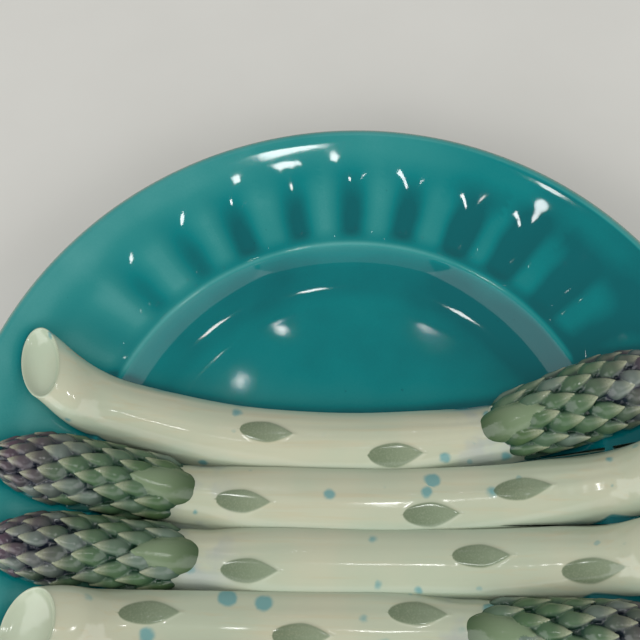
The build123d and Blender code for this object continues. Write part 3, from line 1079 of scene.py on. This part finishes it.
def cloud(tree, place, scale, detail, rough=0.5):
    node = tree.nodes.new("ShaderNodeTexNoise")
    put(tree, node.inputs["Vector"], place)
    node.inputs["Scale"].default_value = scale
    node.inputs["Detail"].default_value = detail
    node.inputs["Roughness"].default_value = rough
    return node.outputs["Fac"]


def new_group(name, inputs, outputs):
    group = bpy.data.node_groups.new(name, "ShaderNodeTree")
    for label, kind, default in inputs:
        socket = group.interface.new_socket(label, in_out="INPUT", socket_type=kind)
        if default is not None:
            socket.default_value = default
    for label, kind in outputs:
        group.interface.new_socket(label, in_out="OUTPUT", socket_type=kind)
    return group, group.nodes.new("NodeGroupInput"), group.nodes.new("NodeGroupOutput")


def use_group(tree, group, **values):
    node = tree.nodes.new("ShaderNodeGroup")
    node.node_tree = group
    for label, value in values.items():
        put(tree, node.inputs[label], value)
    return node.outputs


def speckle_group():
    """Scattered round specks: only some cells hold one, each of its own size."""
    group, start, end = new_group(
        "speckle",
        [
            ("Place", "NodeSocketVector", None),
            ("Spacing", "NodeSocketFloat", 0.1),
            ("Rarity", "NodeSocketFloat", 0.8),
            ("Size", "NodeSocketFloat", 0.3),
        ],
        [("Mask", "NodeSocketFloat")],
    )
    wobble = group.nodes.new("ShaderNodeTexNoise")
    wobble.inputs["Scale"].default_value = 0.3
    link(group, start.outputs["Place"], wobble.inputs["Vector"])
    moved = group.nodes.new("ShaderNodeVectorMath")
    moved.operation = "MULTIPLY_ADD"
    moved.inputs[1].default_value = (1.6, 1.6, 1.6)
    link(group, wobble.outputs["Color"], moved.inputs[0])
    link(group, start.outputs["Place"], moved.inputs[2])
    cells = group.nodes.new("ShaderNodeTexVoronoi")
    link(group, moved.outputs[0], cells.inputs["Vector"])
    link(group, start.outputs["Spacing"], cells.inputs["Scale"])
    parts = group.nodes.new("ShaderNodeSeparateColor")
    link(group, cells.outputs["Color"], parts.inputs[0])
    held = maths(group, "GREATER_THAN", parts.outputs[0], start.outputs["Rarity"])
    size = times(group, maths(group, "ADD", parts.outputs[1], 0.35), start.outputs["Size"])
    inside = span(group, maths(group, "SUBTRACT", size, cells.outputs["Distance"]), -0.05, 0.06)
    link(group, times(group, inside, held), end.inputs["Mask"])
    return group


def flow_group():
    """Uneven glaze: a slow drift of tone, the faint ripple of its surface, and its grain."""
    group, start, end = new_group(
        "glaze_flow",
        [("Place", "NodeSocketVector", None)],
        [("Drift", "NodeSocketFloat"), ("Ripple", "NodeSocketFloat"), ("Grain", "NodeSocketFloat")],
    )
    place = start.outputs["Place"]
    link(group, cloud(group, place, 0.035, 3), end.inputs["Drift"])
    fine_ripple = times(group, cloud(group, place, 0.6, 2), 0.12)
    ripple = maths(group, "ADD", cloud(group, place, 0.11, 2), fine_ripple)
    link(group, ripple, end.inputs["Ripple"])
    link(group, cloud(group, place, 1.6, 4, 0.6), end.inputs["Grain"])
    return group


def glaze_material(name, ior):
    """Glossy glazed ware: a hard clear surface over the colour."""
    material = bpy.data.materials.new(name)
    material.use_nodes = True
    tree = material.node_tree
    shader = tree.nodes["Principled BSDF"]
    shader.inputs["IOR"].default_value = ior
    return material, tree, shader


def lay_glaze(tree, shader, tint, grain, gloss, height, relief):
    """Give the ware its colour, its roughness by the grain, and the relief of its surface."""
    strength, depth = relief
    link(tree, tint, shader.inputs["Base Color"])
    link(tree, span(tree, grain, *GLOSS_GRAIN, *gloss), shader.inputs["Roughness"])
    bump = tree.nodes.new("ShaderNodeBump")
    bump.inputs["Strength"].default_value = strength
    bump.inputs["Distance"].default_value = depth * MM
    link(tree, height, bump.inputs["Height"])
    link(tree, bump.outputs["Normal"], shader.inputs["Normal"])


def turquoise_glaze(flow, speckle):
    """Clear turquoise glaze, deep where it pools and thin over ridges and edges, with painted shade towards
    the right and painted light on the left rim and beside the spears.
    """
    material, tree, shader = glaze_material("turquoise_glaze", TURQUOISE_IOR)
    place = object_place(tree)
    film = use_group(tree, flow, Place=place)
    grain = film["Grain"]
    # the dish's depth value holds pooled glaze together with painted light and shade
    depth = stray(tree, attribute(tree, "pool_and_light"), film["Drift"], 0.35)
    depth = stray(tree, depth, grain, 0.1)
    tint = ramp(tree, depth, TURQUOISE_BY_DEPTH_AND_LIGHT)
    pinholes = use_group(tree, speckle, Place=place, **PINHOLES)["Mask"]
    tint = mix(tree, times(tree, pinholes, 0.45), tint, PINHOLE_TEAL)
    worn = times(tree, attribute(tree, "lip"), span(tree, grain, 0.4, 0.62, 0.4, 0.95))
    tint = mix(tree, worn, tint, WORN_LIP)
    lay_glaze(tree, shader, tint, grain, TURQUOISE_GLOSS, film["Ripple"], TURQUOISE_RELIEF)
    return material


def ivory_glaze(flow, speckle):
    """Ivory stalk glaze with turquoise run into its edges, leaf dabs, streaks, blue specks and painted shade
    in the cut end's hollow.
    """
    material, tree, shader = glaze_material("ivory_glaze", IVORY_IOR)
    place = object_place(tree)
    film = use_group(tree, flow, Place=place)
    grain = film["Grain"]
    edge = attribute(tree, "edge")

    # Ivory, its fibres, edges, cut end with painted shade in its hollow, and the turquoise along its foot
    tint = mix(tree, span(tree, film["Drift"], 0.35, 0.65), IVORY_WARM, IVORY_COOL)
    fibre = cloud(tree, object_place(tree, FIBRE_STRETCH), 0.45, 3, 0.6)
    tint = mix(tree, span(tree, fibre, 0.5, 0.75, 0.0, 0.35), tint, FIBRE_BUFF)
    uneven_edge = times(tree, edge, span(tree, grain, 0.2, 0.7, 0.55, 1.0))
    tint = mix(tree, times(tree, uneven_edge, 0.55), tint, EDGE_GREEN)
    tint = mix(tree, times(tree, attribute(tree, "cut"), 0.6), tint, CUT_PALE)
    # painted shade: olive grey over the far side of the cut end's hollow
    tint = mix(tree, times(tree, attribute(tree, "hollow"), 0.6), tint, HOLLOW_PAINTED_SHADE)
    tint = mix(tree, span(tree, attribute(tree, "low"), 0.35, 1.0, 0.0, 0.9), tint, SEAM_TURQUOISE)

    # Smudges by the head
    patches = span(tree, cloud(tree, place, 0.09, 3), 0.42, 0.62)
    smudge = times(tree, attribute(tree, "shoulder"), patches)
    tint = mix(tree, times(tree, smudge, 0.6), tint, SHOULDER_GREY)

    # Specks, runs and chips
    blue = use_group(tree, speckle, Place=place, **BLUE_SPECKS)["Mask"]
    fine = use_group(tree, speckle, Place=place, **FINE_SPECKS)["Mask"]
    streaks = span(tree, cloud(tree, object_place(tree, RUN_STRETCH), 0.3, 2), 0.6, 0.68)
    runs = times(tree, streaks, span(tree, edge, 0.4, 0.9))
    spots = most(tree, most(tree, blue, times(tree, fine, 0.55)), runs)
    tint = mix(tree, times(tree, spots, 0.72), tint, SPECK_BLUE)
    broken = span(tree, cloud(tree, place, 0.35, 2), 0.42, 0.55)
    chips = times(tree, attribute(tree, "chip"), broken)
    tint = mix(tree, times(tree, chips, 0.8), tint, CHIP_CLAY)

    # Leaf dabs
    leaf = span(tree, attribute(tree, "leaf"), 0.25, 0.9)
    dab = times(tree, leaf, span(tree, grain, 0.1, 0.6, 0.75, 1.0))
    green = mix(tree, span(tree, attribute(tree, "leaf_along"), -1.0, 0.8), LEAF_DARK, LEAF_LIGHT)
    tint = mix(tree, times(tree, dab, 0.88), tint, green)
    lay_glaze(tree, shader, tint, grain, IVORY_GLOSS, film["Ripple"], IVORY_RELIEF)
    return material


def bud_glaze(flow):
    """Green to violet bud glaze: pale worn points, and pooled glaze with painted shade in the grooves
    between and under the scales.
    """
    material, tree, shader = glaze_material("bud_glaze", BUD_IOR)
    place = object_place(tree)
    film = use_group(tree, flow, Place=place)
    grain = film["Grain"]
    tone = attribute(tree, "tone")
    rise = attribute(tree, "rise")
    lead = attribute(tree, "lead")

    # Scales, their worn points and the long lead scale
    reach = stray(tree, attribute(tree, "along"), tone, 0.25)
    body = ramp(tree, reach, BUD_BY_REACH)
    body = mix(tree, span(tree, tone, 0.6, 0.95, 0.0, 0.75), body, SCALE_PALE)
    point = times(tree, span(tree, rise, 0.6, 1.0), span(tree, grain, 0.25, 0.6, 0.4, 0.8))
    tint = mix(tree, point, body, POINT_WORN)
    leader = mix(tree, span(tree, rise, 0.12, 0.75), LEAD_DARK, LEAD_LIGHT)
    tint = mix(tree, lead, tint, leader)

    # Pooled glaze with painted shade in the grooves, along the scales' sides and at their bases under the
    # row before, fainter on the lead scale
    dark = mix(tree, span(tree, reach, 0.35, 0.75), GROOVE_POOL_AND_SHADE_GREEN, GROOVE_POOL_AND_SHADE_VIOLET)
    sides = times(tree, span(tree, attribute(tree, "brim"), 0.55, 1.0), 0.92)
    under = times(tree, span(tree, rise, 0.58, 0.12), 0.95)
    shade = most(tree, most(tree, sides, under), span(tree, attribute(tree, "pit_pool_and_shade"), 0.2, 0.85))
    shade = times(tree, shade, maths(tree, "SUBTRACT", 1.0, times(tree, lead, 0.75)))
    tint = mix(tree, shade, tint, dark)

    # Smudged ivory at the root and turquoise along the foot
    patches = span(tree, cloud(tree, place, 0.09, 3), 0.4, 0.6)
    smudge = mix(tree, patches, BARE_IVORY, BARE_GREY)
    tint = mix(tree, attribute(tree, "bare"), tint, smudge)
    tint = mix(tree, times(tree, attribute(tree, "low"), 0.85), tint, BUD_SEAM)
    lay_glaze(tree, shader, tint, grain, BUD_GLOSS, grain, BUD_RELIEF)
    return material


# Stage: a pale table top, soft light and the photograph's view

TABLE_HALF = 2.0
TABLE_ROUGHNESS = 0.6
ROOM_STRENGTH = 0.5

# Lamps, each with its place and size in metres and its power
LAMPS = (
    ("window_left", (-1.7, -0.8, 0.95), (2.2, 1.5), 27.0),
    ("window_right", (1.7, -1.0, 0.95), (2.2, 1.5), 22.5),
    ("window_behind", (0.0, -2.2, 1.2), (2.4, 1.4), 12.0),
    ("lamp_left", (-0.4, -0.1, 1.5), (0.1, 0.1), 1.3),
    ("lamp_right", (0.45, -0.15, 1.5), (0.1, 0.1), 1.3),
    ("lamp_middle", (0.05, -0.1, 1.5), (0.08, 0.08), 1.0),
    ("ceiling_spot_1", (0.11, 0.76, 1.5), (0.016, 0.016), 0.05),
    ("ceiling_spot_2", (-0.19, 0.77, 1.5), (0.016, 0.016), 0.05),
    ("ceiling_spot_3", (-0.27, 0.62, 1.5), (0.016, 0.016), 0.05),
)

# Camera, fitted to the photograph's ellipses of rim and verge
CAMERA_EYE = Vector((11.405, -90.928, 311.390))
CAMERA_BACK = Vector((0.06404, -0.43367, 0.89879))
CAMERA_RIGHT = Vector((0.99794, 0.02751, -0.05783))
CAMERA_NEAR = 0.01
SENSOR_WIDTH = 36.0
FOCAL_PIXELS = 1000
PHOTO_PIXELS = 640


def make_stage():
    bm = bmesh.new()
    bmesh.ops.create_grid(bm, x_segments=1, y_segments=1, size=TABLE_HALF)
    floor = bpy.data.objects.new("table_top", mesh_from(bm, "table_top"))
    bpy.context.scene.collection.objects.link(floor)
    material = bpy.data.materials.new("pale_table")
    material.use_nodes = True
    tree = material.node_tree
    shader = tree.nodes["Principled BSDF"]
    tint = mix(tree, cloud(tree, object_place(tree), 0.02, 4), TABLE_LIGHT, TABLE_DARK)
    link(tree, tint, shader.inputs["Base Color"])
    shader.inputs["Roughness"].default_value = TABLE_ROUGHNESS
    floor.data.materials.append(material)


def make_lamp(name, place, size, power):
    data = bpy.data.lights.new(name, "AREA")
    data.shape = "RECTANGLE"
    data.size, data.size_y = size
    data.energy = power
    item = bpy.data.objects.new(name, data)
    item.location = place
    item.rotation_euler = (-Vector(place)).to_track_quat("-Z", "Y").to_euler()
    bpy.context.scene.collection.objects.link(item)


def make_light():
    world = bpy.data.worlds.new("room")
    world.use_nodes = True
    background = world.node_tree.nodes["Background"]
    background.inputs["Color"].default_value = ROOM_WHITE
    background.inputs["Strength"].default_value = ROOM_STRENGTH
    bpy.context.scene.world = world
    for settings in LAMPS:
        make_lamp(*settings)


def make_camera():
    up = CAMERA_BACK.cross(CAMERA_RIGHT).normalized()
    turn = Matrix((CAMERA_RIGHT, up, CAMERA_BACK)).transposed().to_4x4()
    data = bpy.data.cameras.new("camera")
    data.sensor_width = SENSOR_WIDTH
    data.lens = SENSOR_WIDTH * FOCAL_PIXELS / PHOTO_PIXELS
    data.clip_start = CAMERA_NEAR
    camera = bpy.data.objects.new("camera", data)
    camera.matrix_world = Matrix.Translation(CAMERA_EYE * MM) @ turn
    bpy.context.scene.collection.objects.link(camera)
    bpy.context.scene.camera = camera


# Plate


def tree_of(pieces):
    """Search tree over finished pieces, in millimetres."""
    points = []
    faces = []
    for piece in pieces:
        base = len(points)
        points += [tuple(v.co / MM) for v in piece.data.vertices]
        faces += [[base + k for k in p.vertices] for p in piece.data.polygons]
    return BVHTree.FromPolygons(points, faces)


flow = flow_group()
speckle = speckle_group()
turquoise = turquoise_glaze(flow, speckle)
ivory = ivory_glaze(flow, speckle)
bud = bud_glaze(flow)

spear_pieces = []
for s in SPEARS:
    spear_pieces.append(make_stalk(s, ivory))
    spear_pieces.append(make_head(s, bud))
make_dish(turquoise, tree_of(spear_pieces))
make_foot(turquoise)

make_stage()
make_light()
make_camera()
bpy.context.scene.view_settings.view_transform = "Standard"
